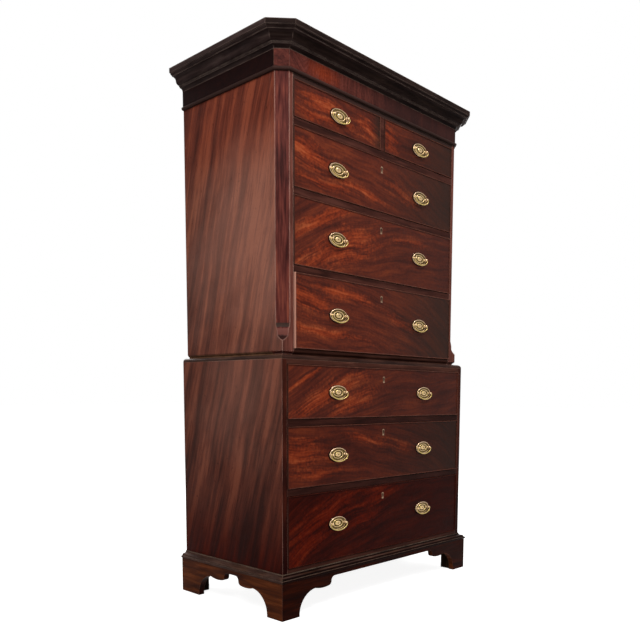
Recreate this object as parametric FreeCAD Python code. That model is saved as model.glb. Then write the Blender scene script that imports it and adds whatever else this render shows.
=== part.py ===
"""Chest on chest: a lower chest on bracket feet that carries a narrower upper chest.

Eight drawers slide in two cases, their bails swing on posts, and the six long drawers lock.
Millimetres. +Z is up, the drawers face -Y, and +X is to the right of someone facing them.
The origin is on the floor, under the middle of the whole object.
"""
import FreeCAD, Part
import os

V = FreeCAD.Vector
RIGHT = V(1, 0, 0)
BACKWARD = V(0, 1, 0)
FORWARD = V(0, -1, 0)
UP = V(0, 0, 1)
QUARTER = 0.2071                    # sag over chord of a quarter circle
HALF = 0.5                          # sag over chord of a half circle

# ---- cases
lower_width = 1008
lower_depth = 547
set_back = 20                       # the upper case stands in from the lower at the front and sides
side_thick = 21
board_thick = 20                    # bottom boards
lower_top_thick = 15
upper_top_thick = 18
back_thick = 12
back_rebate = 9
back_gap = 1                        # shrinkage gap between back boards
back_count = 5
rail_thick = 21
rail_depth = 54
post_face = 49                      # width of a canted corner post, seen from the front
post_depth = rail_depth

# ---- heights of what shows, from the floor up
foot_height = 126
base_mould_height = 24
bottom_lip = 12                     # bottom board showing above the base moulding
waist_mould_height = 14
skirt_inset = 8                     # the foot of the upper case is rounded in to a plain neck
skirt_neck = 5
skirt_curve = 8
top_rail_face = 14                  # rail showing between the short drawers and the bead
bead_height = 12
frieze_height = 52
cornice_height = 64
cornice_rise = 14                   # the cornice stands above the case's own top

# ---- openings, from the bottom up
lower_openings = [246, 209, 182]
upper_openings = [248, 224, 194]
short_opening = 119
divider_thick = 19

# ---- mouldings, feet and canted corners
base_out = 24.5
cornice_out = 57
frieze_thick = 3
plinth_out = 20
plinth_thick = 22
apron_face = 15                     # board left above its raised edge, between two brackets
knee_face = 42                      # board left above the knee of a bracket
knee_sweep = 73
front_leg = 77
rear_leg = 106
front_nose = 68                     # drooping nose of a bracket on the front, past the knee
nose_drop = 3
bracket_rise = 28                   # run of the double curve from the nose up to the apron
side_apron = 46                     # raised edge between the two brackets of a side
rear_bracket_spread = 150
rear_bracket_rise = 20              # run of the rear bracket's last curve, up to the case
cant = 33                           # width of the cant on each face
tongue_tip = 914                    # height where the lamb's tongue runs out to a square corner
tongue_fall = 19
tongue_body = 24
tongue_neck = 16
tongue_shoulder_step = 3
tongue_lip_step = 2.5

# ---- drawers
front_thick = 22
front_gap = 1.5
front_gap_below = 2
bead_thick = 3
bead_proud = 3
lining_thick = 10
lining_gap = 0.5                    # the box is narrower than its front on each side
lining_drop = 3                     # drawer sides stop below the top of the front
back_drop = 5
run_gap = 0.3
bottom_thick = 8
bottom_rise = 8
groove = 5
socket_depth = 12
tail_pitch = 46
pin_width = 5
tail_flare = 2
drawer_back_gap = 15
ajar = 5                            # the lowest upper drawer stands this far short of its stops
stop_size = (34, 30, 6)
guide_height = 20
runner_width = 48
dust_thick = 8
kicker_height = 22

# ---- brasses
lower_pull_x = 245
upper_pull_x = 229
bottom_pull_lift = 5                # the pulls of the bottom drawer stand above its middle
plate_height = 47
plate_thick = 1.2
rim_width = 3.5
rim_height = 2.8
rim_gap = 0.5                       # between the plate's rim and the collars of the posts
ring_gap = 2.5                      # between the plate's inner ring and the same collars
ring_height = 31
ring_width = 4
ring_rise = 2.6
boss_width = 28
boss_height = 17
boss_rise = 4.2
post_span = 66
shank_r = 2.4
hole_play = 0.1
neck_r = 2.8
collar_r = 5
collar_thick = 1.6
head_r = 4.6
pivot_out = 9.4                     # bail axis in front of the drawer front
bail_r = 2
pin_play = 0.05
bail_drop = 24
bail_clear = 1.1
bend_r = 3
end_arc_r = 14
pin_length = 6
nut_size = 11
nut_thick = 4
keyhole_r = 3
keyhole_slot = 3
keyhole_depth = 10
escutcheon_r = 6.5
escutcheon_drop = 17
escutcheon_thick = 1.5
selvedge_length = 76
selvedge_thick = 2
lock_width = 60
lock_wall = 3.5
lock_below_key = 12
bolt_width = 20
bolt_play = 0.2
bolt_travel = 8
bolt_rest = 0.5                     # the withdrawn bolt lies this far below the selvedge
mortise_depth = bolt_travel + 2
mortise_play = 1.5
mortise_slack = ajar + 0.3          # a locked drawer can be drawn this far before its bolt catches

# ---- places worked out from the sizes
front_reach = max(cornice_out - set_back, base_out, pivot_out + head_r)
lower_front = (front_reach - lower_depth) / 2
back = lower_front + lower_depth
upper_front = lower_front + set_back
lower_half = lower_width / 2
upper_half = lower_half - set_back
back_inner = back - back_thick
lower_open_half = lower_half - side_thick
upper_inner_half = upper_half - side_thick
upper_open_half = upper_half - post_face
lower_floor = foot_height + base_mould_height + bottom_lip
lower_case_top = lower_floor + sum(lower_openings) + 2 * rail_thick + lower_top_thick
upper_floor = lower_case_top + waist_mould_height + board_thick
short_floor = upper_floor + sum(upper_openings) + 3 * rail_thick
top_rail_z = short_floor + short_opening
bead_z = top_rail_z + top_rail_face
frieze_z = bead_z + bead_height
cornice_z = frieze_z + frieze_height
overall_height = cornice_z + cornice_height
case_top = overall_height - cornice_rise
block_side = 48
strip_size = 30
mitre_spare = 8                     # a mitre is cut this far past the moulding


def box(x0, x1, y0, y1, z0, z1):
    return Part.makeBox(x1 - x0, y1 - y0, z1 - z0, V(x0, y0, z0))


def outline(steps, place):
    """A face from (a, b) points; (a, b, sag) arrives by an arc that bulges to the left by sag x chord."""
    edges = []
    for here, there in zip(steps, steps[1:] + steps[:1]):
        start = place(here[0], here[1])
        end = place(there[0], there[1])
        if len(there) == 2:
            edges.append(Part.makeLine(start, end))
            continue
        sag = there[2]
        mid_a = (here[0] + there[0]) / 2 - sag * (there[1] - here[1])
        mid_b = (here[1] + there[1]) / 2 + sag * (there[0] - here[0])
        edges.append(Part.Arc(start, place(mid_a, mid_b), end).toShape())
    return Part.Face(Part.Wire(edges))


def front_shape(steps, y0, y1):
    """A board whose outline is seen from the front."""
    return outline(steps, lambda x, z: V(x, y0, z)).extrude(BACKWARD * (y1 - y0))


def side_shape(steps, x0, x1):
    """A board whose outline is seen from the side, in (y, z)."""
    return outline(steps, lambda y, z: V(x0, y, z)).extrude(RIGHT * (x1 - x0))


def mitred_runs(profile, corners, rise, closed=False):
    """One piece for each straight run of a moulding, mitred where runs meet.

    The profile is in (outward, rise) steps; outward is to the right of the way the corners go.
    """
    outs = []
    for here, there in zip(corners, corners[1:] + corners[:1]):
        outs.append((there - here).normalize().cross(rise))
    runs = len(corners) if closed else len(corners) - 1
    inner = min(step[0] for step in profile) - 1
    outer = max(step[0] for step in profile) + mitre_spare
    low = min(step[1] for step in profile) - mitre_spare
    high = max(step[1] for step in profile) + mitre_spare
    pieces = []
    for i in range(runs):
        here = corners[i]
        there = corners[(i + 1) % len(corners)]
        out = outs[i]
        skews = []
        for neighbour, meets in ((outs[i - 1], closed or i > 0),
                                 (outs[(i + 1) % len(outs)], closed or i < runs - 1)):
            skews.append((out + neighbour) * (1 / (1 + out.dot(neighbour))) if meets else out)
        spare = (there - here).normalize() * outer
        face = outline(profile, lambda a, b: here - spare + out * a + rise * b)
        bar = face.extrude(there - here + spare * 2)
        plan = [here + skews[0] * inner, here + skews[0] * outer,
                there + skews[1] * outer, there + skews[1] * inner]
        plan = [point + rise * low for point in plan]
        wedge = Part.Face(Part.makePolygon(plan + plan[:1])).extrude(rise * (high - low))
        pieces.append(bar.common(wedge).Solids[0])
    return pieces


def square_plan(half, front, z):
    """Corners of a case with square corners, from the back left round the front to the back right."""
    return [V(-half, back, z), V(-half, front, z), V(half, front, z), V(half, back, z)]


def canted_plan(half, front, z):
    """The same with canted front corners."""
    return [V(-half, back, z), V(-half, front + cant, z), V(cant - half, front, z),
            V(half - cant, front, z), V(half, front + cant, z), V(half, back, z)]


def mirrored(shape):
    return shape.mirror(V(0, 0, 0), RIGHT)


nodes = {}


def keep(name, *solids):
    """File solids under a node; each stays a separate piece."""
    nodes.setdefault(name, []).extend(solids)


# ---- lower case -----------------------------------------------------------------------------
def back_boards(half, z0, z1):
    """Upright boards nailed into the rebates of the sides."""
    spread = 2 * (half - side_thick + back_rebate)
    pitch = (spread + back_gap) / back_count
    for i in range(back_count):
        x0 = -spread / 2 + i * pitch
        keep("back_boards", box(x0, x0 + pitch - back_gap, back_inner, back, z0, z1))


lower_side = box(-lower_half, -lower_open_half, lower_front, back, foot_height, lower_case_top)
lower_side = lower_side.cut(box(-lower_open_half - back_rebate, -lower_open_half,
                                back_inner, back, foot_height, lower_case_top))
keep("lower_side_left", lower_side)
keep("lower_side_right", mirrored(lower_side))

lower_bottom = box(-lower_open_half, lower_open_half, lower_front, back_inner,
                   lower_floor - board_thick, lower_floor)
lower_top = box(-lower_open_half, lower_open_half, lower_front, back_inner,
                lower_case_top - lower_top_thick, lower_case_top)
back_boards(lower_half, foot_height, lower_case_top)

# The waist moulding is nailed round the top of the lower case and keeps the upper one in place.
waist_inner = -(set_back + skirt_inset - 1)
waist_profile = [(0, 0), (0, 1), (-waist_mould_height, waist_mould_height, -QUARTER),
                 (waist_inner, waist_mould_height), (waist_inner, 0)]
keep("waist_moulding", *mitred_runs(waist_profile, square_plan(lower_half, lower_front, lower_case_top), UP))

# ---- feet and base moulding -------------------------------------------------------------------
nose_r = 3.5
nose_top = 2 * nose_r
base_profile = [(0, 0), (base_out - nose_r, 0), (base_out - nose_r, nose_top, -HALF),
                (base_out - nose_r - 2, nose_top), (base_out - nose_r - 2, nose_top + 1),
                (11, 15, -QUARTER), (3, base_mould_height - 2, QUARTER),
                (2, base_mould_height - 2), (2, base_mould_height), (0, base_mould_height)]
keep("base_moulding", *mitred_runs(base_profile, square_plan(lower_half, lower_front, foot_height), UP))


apron_height = foot_height - apron_face
knee_height = foot_height - knee_face


def bracket_edge(leg, nose_length):
    """Lower edge of a shaped bracket, from the foot's corner up to the apron, in (along, up)."""
    knee = leg + knee_sweep
    nose = knee + nose_length
    lip = nose + bracket_rise * 0.4
    lip_z = (knee_height - nose_drop + apron_height) / 2
    return [(leg, 0), (knee, knee_height, QUARTER), (nose, knee_height - nose_drop, -0.06),
            (lip, lip_z, -0.18), (nose + bracket_rise, apron_height, 0.2)]


def turned(edge, from_end):
    """The same edge for the bracket at the far end of a board, walked the other way."""
    sags = [step[2] if len(step) == 3 else 0 for step in edge]
    back_edge = []
    for i in range(len(edge) - 1, -1, -1):
        point = (from_end - edge[i][0], edge[i][1])
        if i < len(edge) - 1:
            point = point + (sags[i + 1],)
        back_edge.append(point)
    return back_edge


plinth_half = lower_half + plinth_out
plinth_front = lower_front - plinth_out
plinth_profile = [(plinth_out - plinth_thick, 0), (plinth_out, 0),
                  (plinth_out, foot_height), (plinth_out - plinth_thick, foot_height)]
plinth = mitred_runs(plinth_profile, square_plan(lower_half, lower_front, 0), UP)
left_board, front_board, right_board = plinth

front_bracket = bracket_edge(front_leg, front_nose)
front_edge = front_bracket + turned(front_bracket, 2 * plinth_half)
front_edge = [(step[0] - plinth_half,) + step[1:] for step in front_edge]
front_void = front_shape(front_edge, plinth_front - 1, plinth_front + plinth_thick + 1)
side_length = back - plinth_front
side_nose = (side_length - front_leg - rear_leg - side_apron) / 2 - knee_sweep - bracket_rise
side_edge = bracket_edge(front_leg, side_nose) + turned(bracket_edge(rear_leg, side_nose), side_length)
side_edge = [(step[0] + plinth_front,) + step[1:] for step in side_edge]
side_void = side_shape(side_edge, -plinth_half - 1, -plinth_half + plinth_thick + 1)
keep("bracket_feet", front_board.cut(front_void), left_board.cut(side_void),
     right_board.cut(mirrored(side_void)))

# Plain brackets close the back feet; blocks glued inside carry the weight to the floor.
plinth_inner = plinth_half - plinth_thick
rear_bracket = front_shape([(-plinth_inner, 0), (rear_leg - plinth_half, 0),
                            (rear_bracket_spread - plinth_half, knee_height, QUARTER),
                            (rear_bracket_spread + rear_bracket_rise - plinth_half, foot_height, -0.1),
                            (-plinth_inner, foot_height)], back - plinth_thick, back)
keep("bracket_feet", rear_bracket, mirrored(rear_bracket))

block_front = plinth_front + plinth_thick
block_back = back - plinth_thick
for y0, y1 in ((block_front, block_front + block_side), (block_back - block_side, block_back)):
    block = box(-plinth_inner, block_side - plinth_inner, y0, y1, 0, foot_height)
    keep("foot_blocks", block, mirrored(block))
side_strip = box(-lower_open_half, strip_size - lower_open_half, lower_front, back_inner,
                 foot_height, lower_floor - board_thick)
front_strip = box(strip_size - lower_open_half, lower_open_half - strip_size,
                  lower_front, lower_front + strip_size, foot_height, lower_floor - board_thick)
keep("foot_blocks", side_strip, mirrored(side_strip), front_strip)

# ---- upper case -----------------------------------------------------------------------------
# The foot of the upper case is rounded in to a neck, which drops inside the waist moulding.
neck_top = waist_mould_height + skirt_neck
skirt_top = neck_top + skirt_curve
skirt_profile = [(-skirt_inset, 0), (1, 0), (1, skirt_top), (0, skirt_top), (-skirt_inset, neck_top, 0.1)]
skirt_cutters = mitred_runs(skirt_profile, square_plan(upper_half, upper_front, lower_case_top), UP)


def rounded_in(shape):
    """Take the skirt off the foot of a board of the upper case."""
    for cutter in skirt_cutters:
        shape = shape.cut(cutter)
    return shape


post_back = upper_front + post_depth
upper_side = box(-upper_half, -upper_inner_half, post_back, back, lower_case_top, case_top)
upper_side = upper_side.cut(box(-upper_inner_half - back_rebate, -upper_inner_half,
                                back_inner, back, lower_case_top, case_top))
upper_side = rounded_in(upper_side)
keep("upper_side_left", upper_side)
keep("upper_side_right", mirrored(upper_side))

# Corner post: square in section, with a cant that ends in a lamb's tongue near the foot.
# In (distance in from the square corner, height); the cant is as deep as half its own width.
cant_deep = cant / 2 ** 0.5
tongue_edge = tongue_tip + tongue_fall
tongue_shoulder = tongue_edge + tongue_body
tongue_top = tongue_shoulder + tongue_neck
shoulder_deep = cant_deep - tongue_shoulder_step
lip_deep = shoulder_deep - tongue_lip_step
cant_void = [(0, tongue_tip), (lip_deep, tongue_edge, -0.06), (shoulder_deep, tongue_shoulder, 0.04),
             (cant_deep, tongue_top, -0.05), (cant_deep, case_top + 1), (-1, case_top + 1),
             (-1, tongue_tip)]
inward = V(1, 1, 0).normalize()
across = V(1, -1, 0).normalize()
corner = V(-upper_half, upper_front, 0)
cant_cutter = outline(cant_void, lambda deep, z: corner - across * post_face + inward * deep + UP * z)
cant_cutter = cant_cutter.extrude(across * (2 * post_face))
post = box(-upper_half, -upper_open_half, upper_front, post_back, lower_case_top, case_top)
post = rounded_in(post.cut(cant_cutter))
keep("canted_corners", post, mirrored(post))


def between_posts(z0, z1):
    """A full board between the upper sides, notched round the corner posts."""
    board = box(-upper_inner_half, upper_inner_half, upper_front, back_inner, z0, z1)
    notch = box(-upper_half, -upper_open_half, upper_front, post_back, z0, z1)
    return board.cut(notch).cut(mirrored(notch))


upper_bottom = rounded_in(between_posts(upper_floor - board_thick, upper_floor))
top_rail = box(-upper_open_half, upper_open_half, upper_front, upper_front + front_thick,
               top_rail_z, case_top)
upper_top = between_posts(case_top - upper_top_thick, case_top).cut(top_rail)
back_boards(upper_half, lower_case_top, case_top)

upper_plan = canted_plan(upper_half, upper_front, 0)
nose = bead_height / 2
bead_profile = [(0, bead_z), (nose / 2, bead_z), (nose / 2, frieze_z, -HALF), (0, frieze_z)]
frieze_profile = [(0, frieze_z), (frieze_thick, frieze_z), (frieze_thick, cornice_z), (0, cornice_z)]
keep("frieze", top_rail, *mitred_runs(frieze_profile, upper_plan, UP))
keep("frieze", *mitred_runs(bead_profile, upper_plan, UP))

# Cornice, from the bottom: cove, two fillets, cyma recta, fillet, ovolo and fascia.
cornice_profile = [(0, 0), (frieze_thick, 0), (frieze_thick + 10, 10, QUARTER), (15, 10), (15, 13.5),
                   (18, 13.5), (18, 17), (30.5, 28, -QUARTER), (43, 39, QUARTER), (46, 39),
                   (46, 42), (53, 48, -QUARTER), (cornice_out, 48), (cornice_out, cornice_height),
                   (0, cornice_height)]
cornice_plan = canted_plan(upper_half, upper_front, cornice_z)
keep("cornice_moulding", *mitred_runs(cornice_profile, cornice_plan, UP))

# ---- rails, runners, dust boards and stops ----------------------------------------------------
rails = {}


def rail_level(key, open_half, inner_half, front, z1):
    """Front rail with a runner at each side behind it and a dust board between them."""
    z0 = z1 - rail_thick
    rear = front + rail_depth
    rails[key] = box(-open_half, open_half, front, rear, z0, z1)
    runner_inner = open_half - runner_width / 2
    runner = box(-inner_half, -runner_inner, rear, back_inner, z0, z1)
    dust_z = z0 + (rail_thick - dust_thick) / 2
    dust = box(-runner_inner, runner_inner, rear, back_inner, dust_z, dust_z + dust_thick)
    keep("drawer_runners", runner, mirrored(runner))
    return dust


def guides(open_half, inner_half, z0):
    """Strips on the runners that steer a drawer between the upper sides."""
    guide = box(-inner_half, -open_half, post_back, back_inner, z0, z0 + guide_height)
    keep("drawer_runners", guide, mirrored(guide))


def stops(front, z0, centres):
    """Small blocks that the back of a drawer front comes up against."""
    wide, deep, high = stop_size
    y0 = front + front_thick + run_gap
    for x in centres:
        keep("drawer_runners", box(x - wide / 2, x + wide / 2, y0, y0 + deep, z0, z0 + high))


lower_floors = [lower_floor]
for opening in lower_openings[:-1]:
    lower_floors.append(lower_floors[-1] + opening + rail_thick)
for level, floor in enumerate(lower_floors[1:], start=1):
    keep("drawer_runners", rail_level(("lower", level), lower_open_half, lower_open_half, lower_front, floor))
for floor in lower_floors:
    stops(lower_front, floor, (-lower_pull_x, lower_pull_x))

upper_floors = [upper_floor]
for opening in upper_openings:
    upper_floors.append(upper_floors[-1] + opening + rail_thick)
for level, floor in enumerate(upper_floors[1:], start=1):
    dust = rail_level(("upper", level), upper_open_half, upper_inner_half, upper_front, floor)
    if floor == short_floor:
        centre_runner = box(-runner_width, runner_width, post_back, back_inner, floor - rail_thick, floor)
        dust = dust.cut(centre_runner)
        keep("drawer_runners", centre_runner)
    keep("drawer_runners", *dust.Solids)
for floor in upper_floors:
    guides(upper_open_half, upper_inner_half, floor)
    stops(upper_front, floor, (-upper_pull_x, upper_pull_x))

half_divider = divider_thick / 2
divider = box(-half_divider, half_divider, upper_front, post_back, short_floor, top_rail_z)
divider_kick = box(-half_divider, half_divider, upper_front + front_thick, post_back,
                   top_rail_z, top_rail_z + kicker_height)
keep("drawer_runners", box(-half_divider, half_divider, post_back, back_inner,
                           short_floor, short_floor + guide_height))
side_kicker = box(-upper_inner_half, runner_width / 2 - upper_open_half, post_back, back_inner,
                  top_rail_z, top_rail_z + kicker_height)
centre_kicker = box(-runner_width, runner_width, post_back, back_inner,
                    top_rail_z, top_rail_z + kicker_height)
keep("drawer_runners", side_kicker, mirrored(side_kicker), centre_kicker)

# ---- pulls ----------------------------------------------------------------------------------
half_span = post_span / 2


def ellipse_disc(x, z, half_wide, half_high, y0, y1):
    """An oval slab facing forward, from y0 forward to y1."""
    curve = Part.Ellipse(V(x + half_wide, y0, z), V(x, y0, z + half_high), V(x, y0, z))
    return Part.Face(Part.Wire(curve.toShape())).extrude(V(0, y1 - y0, 0))


def backplate(x, z, face):
    """Stamped oval plate: a rim, an inner ring and a raised boss, pierced for the two posts."""
    half_wide = half_span + collar_r + rim_gap + rim_width
    half_high = plate_height / 2
    ring_half = half_span - collar_r - ring_gap
    sheet = ellipse_disc(x, z, half_wide, half_high, face, face - plate_thick)
    rim = ellipse_disc(x, z, half_wide, half_high, face, face - rim_height)
    rim = rim.cut(ellipse_disc(x, z, half_wide - rim_width, half_high - rim_width, face, face - rim_height))
    ring = ellipse_disc(x, z, ring_half, ring_height / 2, face, face - ring_rise)
    ring = ring.cut(ellipse_disc(x, z, ring_half - ring_width, ring_height / 2 - ring_width,
                                 face, face - ring_rise))
    boss = ellipse_disc(x, z, boss_width / 2, boss_height / 2, face, face - boss_rise)
    plate = sheet.multiFuse([rim, ring, boss]).removeSplitter()
    crown = [edge for edge in plate.Edges
             if abs(edge.BoundBox.YMin - (face - boss_rise)) < 0.01 and edge.BoundBox.YLength < 0.01]
    plate = plate.makeChamfer(boss_rise * 0.5, crown)
    for post_x in (x - half_span, x + half_span):
        plate = plate.cut(Part.makeCylinder(shank_r, rim_height + 1, V(post_x, face, z), FORWARD))
    return plate


def pull_post(x, z, face, inner):
    """Turned post: shank through the front, collar, neck, and a ball head bored for the bail."""
    pivot = face - pivot_out
    shank = Part.makeCylinder(shank_r, inner - face + nut_thick + 2 + plate_thick,
                              V(x, face - plate_thick, z), BACKWARD)
    collar = Part.makeCylinder(collar_r, collar_thick, V(x, face - plate_thick, z), FORWARD)
    neck = Part.makeCylinder(neck_r, pivot_out - plate_thick, V(x, face - plate_thick, z), FORWARD)
    head = Part.makeSphere(head_r, V(x, pivot, z))
    bore = Part.makeCylinder(bail_r + pin_play, 4 * head_r, V(x - 2 * head_r, pivot, z), RIGHT)
    return shank.multiFuse([collar, neck, head]).removeSplitter().cut(bore)


def bail(x, z, face):
    """Oval bow of round brass whose ends turn in and pass into the posts."""
    y = face - pivot_out
    arm = half_span + head_r + bail_clear + bail_r
    shoulder_z = z - bend_r
    drop = bail_drop - bend_r
    end_x = arm - end_arc_r
    # The big lower arc is tangent to both end arcs: its centre lies `lift` above them.
    lift = (end_x ** 2 - (drop - end_arc_r) ** 2) / (2 * (drop - end_arc_r))
    big_r = drop + lift
    reach = end_arc_r / (big_r - end_arc_r)
    joint_x = end_x * (1 + reach)
    joint_z = shoulder_z - lift * reach
    end_slope = V(joint_x - end_x, 0, joint_z - shoulder_z)
    middle = (V(end_arc_r, 0, 0) + end_slope).normalize() * end_arc_r
    bend_mid = bend_r * (1 - 0.5 ** 0.5)
    edges = []
    for side in (-1, 1):
        pin_inner = V(x + side * (arm - bend_r - pin_length), y, z)
        pin_outer = V(x + side * (arm - bend_r), y, z)
        bend = V(x + side * (arm - bend_mid), y, z - bend_mid)
        shoulder = V(x + side * arm, y, shoulder_z)
        cheek = V(x + side * (end_x + middle.x), y, shoulder_z + middle.z)
        joint = V(x + side * joint_x, y, joint_z)
        half = [Part.makeLine(pin_inner, pin_outer), Part.Arc(pin_outer, bend, shoulder).toShape(),
                Part.Arc(shoulder, cheek, joint).toShape()]
        if side < 0:
            edges += half
            edges.append(Part.Arc(joint, V(x, y, z - bail_drop),
                                  V(x + joint_x, y, joint_z)).toShape())
        else:
            edges += half[::-1]
    path = Part.Wire(Part.__sortEdges__(edges))
    start = V(x - (arm - bend_r - pin_length), y, z)
    ring = Part.Wire(Part.makeCircle(bail_r, start, RIGHT))
    return path.makePipeShell([ring], True, True)


def keyhole(x, z, y0, y1, r, slot, drop):
    """Round-topped keyhole, from y0 back to y1."""
    eye = Part.makeCylinder(r, y1 - y0, V(x, y0, z), BACKWARD)
    return eye.fuse(box(x - slot / 2, x + slot / 2, y0, y1, z - drop, z)).removeSplitter()


# ---- drawers --------------------------------------------------------------------------------
def tails(y_root, y_tip, z0, z1):
    """Corner points of a row of dovetails, from z0 to z1."""
    count = max(2, round((z1 - z0) / tail_pitch))
    pitch = (z1 - z0) / count
    points = []
    for i in range(count):
        centre = z0 + (i + 0.5) * pitch
        tip = (pitch - pin_width) / 2
        root = tip - tail_flare
        points += [(y_root, centre - root), (y_tip, centre - tip)]
        points += [(y_tip, centre + tip), (y_root, centre + root)]
    return points


def make_drawer(name, x0, x1, floor, opening, case_front, shift, pulls, pull_lift=0, key_drop=None):
    """A drawer with its brasses, in the opening between x0 and x1; shift is how far it is pulled."""
    face = case_front - shift
    inner = face + front_thick
    rear = back_inner - drawer_back_gap - shift
    fx0 = x0 + front_gap
    fx1 = x1 - front_gap
    fz0 = floor + front_gap_below
    fz1 = floor + opening - front_gap
    rebate = front_thick - socket_depth

    # Lining: dovetailed sides, a back that stands on the bottom board, and the bottom in grooves.
    ox0 = fx0 + lining_gap
    ox1 = fx1 - lining_gap
    sz0 = floor + run_gap
    sz1 = fz1 - lining_drop
    first = fz0 + 2 * pin_width
    last = sz1 - 2 * pin_width
    edge = [(inner, sz0)] + tails(inner, inner - socket_depth, first, last) + [(inner, sz1)]
    edge += [(rear - lining_thick, sz1)]
    edge += tails(rear - lining_thick, rear, first + bottom_rise, last - back_drop)[::-1]
    edge += [(rear - lining_thick, sz0)]
    bz0 = sz0 + bottom_rise
    bottom = box(ox0 + groove, ox1 - groove, inner - groove, rear, bz0, bz0 + bottom_thick)
    side_left = side_shape(edge, ox0, ox0 + lining_thick)
    side_right = side_shape(edge, ox1 - lining_thick, ox1)
    rear_board = box(ox0, ox1, rear - lining_thick, rear, bz0 + bottom_thick, sz1 - back_drop)
    rear_board = rear_board.cut(side_left).cut(side_right)
    keep(name + "_box", side_left.cut(bottom), side_right.cut(bottom), rear_board, bottom)

    # Front: a board rebated all round for the cock bead, and the four mitred beads.
    board = box(fx0, fx1, face, inner, fz0, fz1)
    core = box(fx0 + bead_thick, fx1 - bead_thick, face, face + rebate, fz0 + bead_thick, fz1 - bead_thick)
    edging = box(fx0, fx1, face, face + rebate, fz0, fz1).cut(core)
    board = board.cut(edging).cut(side_left).cut(side_right).cut(bottom)
    bead_section = [(-bead_thick, -rebate), (0, -rebate), (0, bead_proud - bead_thick / 2),
                    (-bead_thick, bead_proud - bead_thick / 2, -HALF)]
    bead_corners = [V(fx0, face, fz0), V(fx1, face, fz0), V(fx1, face, fz1), V(fx0, face, fz1)]
    beads = mitred_runs(bead_section, bead_corners, FORWARD, closed=True)

    # Brasses: plates, posts and nuts, and the bails as pieces of their own.
    pull_z = (fz0 + fz1) / 2 + pull_lift
    holes = []
    for label, x in pulls:
        keep(name + "_brasses", backplate(x, pull_z, face))
        for post_x in (x - half_span, x + half_span):
            post = pull_post(post_x, pull_z, face, inner)
            hole = Part.makeCylinder(shank_r + hole_play, front_thick, V(post_x, face, pull_z), BACKWARD)
            holes.append(hole)
            nut = box(post_x - nut_size / 2, post_x + nut_size / 2, inner, inner + nut_thick,
                      pull_z - nut_size / 2, pull_z + nut_size / 2)
            nut = nut.cut(Part.makeCylinder(shank_r, nut_thick, V(post_x, inner, pull_z), BACKWARD))
            keep(name + "_brasses", post, nut)
        keep(name + "_bail" + label, bail(x, pull_z, face))
    for hole in holes:
        board = board.cut(hole)

    if key_drop:
        board = fit_lock(name, board, (fx0 + fx1) / 2, face, inner, fz1, key_drop)
    keep(name + "_front", board, *beads)


def fit_lock(name, board, x, face, inner, top, key_drop):
    """Let a lock, its bolt and an inset escutcheon into a drawer front."""
    key_z = top - key_drop
    lock_front = inner - socket_depth
    lock_foot = key_z - lock_below_key
    case = box(x - lock_width / 2, x + lock_width / 2, lock_front, inner, lock_foot, top - selvedge_thick)
    selvedge = box(x - selvedge_length / 2, x + selvedge_length / 2, lock_front, inner,
                   top - selvedge_thick, top)
    body = case.fuse(selvedge).removeSplitter()
    board = board.cut(body)
    half_bolt = bolt_width / 2
    chamber = box(x - half_bolt - bolt_play, x + half_bolt + bolt_play, lock_front + lock_wall,
                  inner - lock_wall, lock_foot + lock_wall, top)
    way = keyhole(x, key_z, face - 1, lock_front + lock_wall + 1, keyhole_r, keyhole_slot, keyhole_depth)
    keep(name + "_brasses", body.cut(chamber).cut(way))
    board = board.cut(way)
    plate = keyhole(x, key_z, face, face + escutcheon_thick, escutcheon_r, 1.5 * escutcheon_r,
                    escutcheon_drop)
    board = board.cut(plate)
    keep(name + "_brasses", plate.cut(way))
    bolt = box(x - half_bolt, x + half_bolt, lock_front + lock_wall + bolt_play,
               inner - lock_wall - bolt_play, key_z + keyhole_r + bolt_play * 2, top - bolt_rest)
    keep(name + "_bolt", bolt)
    return board


lower_pulls = (("_left", -lower_pull_x), ("_right", lower_pull_x))
upper_pulls = (("_left", -upper_pull_x), ("_right", upper_pull_x))
lower_key_drops = (37, 28, 36)
upper_key_drops = (38, 36, 36)
for i, (floor, opening, drop) in enumerate(zip(lower_floors, lower_openings, lower_key_drops)):
    make_drawer("lower_drawer_%d" % (len(lower_floors) - i), -lower_open_half, lower_open_half,
                floor, opening, lower_front, 0, lower_pulls, 0 if i else bottom_pull_lift, drop)
for i, (floor, opening, drop) in enumerate(zip(upper_floors, upper_openings, upper_key_drops)):
    make_drawer("upper_drawer_%d" % (len(upper_openings) - i), -upper_open_half, upper_open_half,
                floor, opening, upper_front, 0 if i else ajar, upper_pulls, 0, drop)
short_centre = (upper_open_half + half_divider) / 2
make_drawer("short_drawer_left", -upper_open_half, -half_divider, short_floor, short_opening,
            upper_front, 0, (("", -short_centre),))
make_drawer("short_drawer_right", half_divider, upper_open_half, short_floor, short_opening,
            upper_front, 0, (("", short_centre),))

# ---- mortises for the lock bolts, then the boards they are cut in ------------------------------
def mortised(shape, underside, front):
    """Sink the bolt's mortise in the underside of a rail or board; a locked drawer rattles by its slack."""
    half_x = bolt_width / 2 + mortise_play
    inner = front + front_thick
    y0 = inner - socket_depth + lock_wall - mortise_slack
    y1 = inner - lock_wall + mortise_play
    return shape.cut(box(-half_x, half_x, y0, y1, underside, underside + mortise_depth))


for (case, level), rail in rails.items():
    floors = lower_floors if case == "lower" else upper_floors
    front = lower_front if case == "lower" else upper_front
    keep("drawer_rails", mortised(rail, floors[level] - rail_thick, front))
keep("drawer_rails", divider, divider_kick)
keep("case_boards", lower_bottom, mortised(lower_top, lower_case_top - lower_top_thick, lower_front),
     upper_bottom, upper_top)

os.makedirs("parts", exist_ok=True)
for name, solids in nodes.items():
    Part.makeCompound(solids).exportStep("parts/%s.step" % name)
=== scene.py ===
import bmesh
import bpy
import math
from mathutils import Matrix, Vector


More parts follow.
